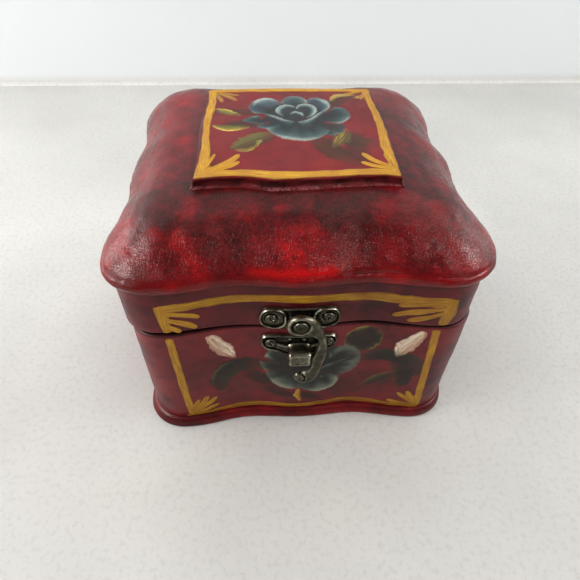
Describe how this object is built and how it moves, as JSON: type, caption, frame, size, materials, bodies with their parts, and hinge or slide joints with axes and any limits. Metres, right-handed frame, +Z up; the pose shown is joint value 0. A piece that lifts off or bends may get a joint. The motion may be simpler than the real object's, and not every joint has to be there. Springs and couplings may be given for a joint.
{
  "type": "keepsake box",
  "caption": "Small square wooden keepsake box with wavy sides, a cushion-domed hinged lid, a raised painted panel on top and a swinging hook latch at the front.",
  "frame": {"origin": "on the underside, at the middle of the body (the lid sits 1.2 mm towards -X of it)", "axes": "+Z up, front face with the latch towards -Y, hinges at +Y, +X to the right seen from the front"},
  "size_m": [0.14, 0.142, 0.1092],
  "materials": {
    "maroon_lacquer": "satin maroon lacquer over wood, with hand-painted yellow border and leaves",
    "edge_red_lacquer": "glossier red lacquer, rubbed bright at the edge",
    "crackled_red_lacquer": "glossy dark red lacquer with a fine leather-like crackle, brighter where worn",
    "painted_panel": "satin maroon lacquer with a yellow border and a painted blue-green flower",
    "yellow_paint": "thick satin brush-laid paint",
    "lining_felt": "short-napped dark red felt",
    "hinge_metal": "antique bronze plate, rubbed at the edges",
    "antique_metal": "dark antique pewter patina, rubbed bright on raised edges"
  },
  "bodies": {
    "base": {"bottom_board": "edge_red_lacquer", "front_wall": "maroon_lacquer", "back_wall": "maroon_lacquer", "left_wall": "maroon_lacquer", "right_wall": "maroon_lacquer", "base_floor_lining": "lining_felt", "base_wall_lining": "lining_felt", "left_hinge_lower_leaf": "hinge_metal", "right_hinge_lower_leaf": "hinge_metal", "left_hinge_pin": "hinge_metal", "right_hinge_pin": "hinge_metal", "hinge_lower_screws": "hinge_metal", "latch_lower_plate": "antique_metal", "latch_catch_post": "antique_metal", "latch_lower_screws": "antique_metal"},
    "lid": {"lid_front_rail": "maroon_lacquer", "lid_back_rail": "maroon_lacquer", "lid_left_rail": "maroon_lacquer", "lid_right_rail": "maroon_lacquer", "lid_dome": "crackled_red_lacquer", "lid_top_panel": "painted_panel", "lid_ceiling_lining": "lining_felt", "left_hinge_upper_leaf": "hinge_metal", "right_hinge_upper_leaf": "hinge_metal", "hinge_upper_screws": "hinge_metal", "latch_upper_plate": "antique_metal", "latch_upper_screws": "antique_metal", "latch_pivot_rivet": "antique_metal"},
    "hook": {"latch_hook": "antique_metal"}
  },
  "joints": [
    {"name": "lid_hinge", "type": "hinge", "parent": "base", "child": "lid", "pos_m": [0, 0.0676, 0.0623], "axis": [-1, 0, 0], "range_deg": [0, 105]},
    {"name": "hook_swing", "type": "hinge", "parent": "lid", "child": "hook", "pos_m": [-0.002, -0.0687, 0.0683], "axis": [0, -1, 0], "range_deg": [0, 100]}
  ]
}
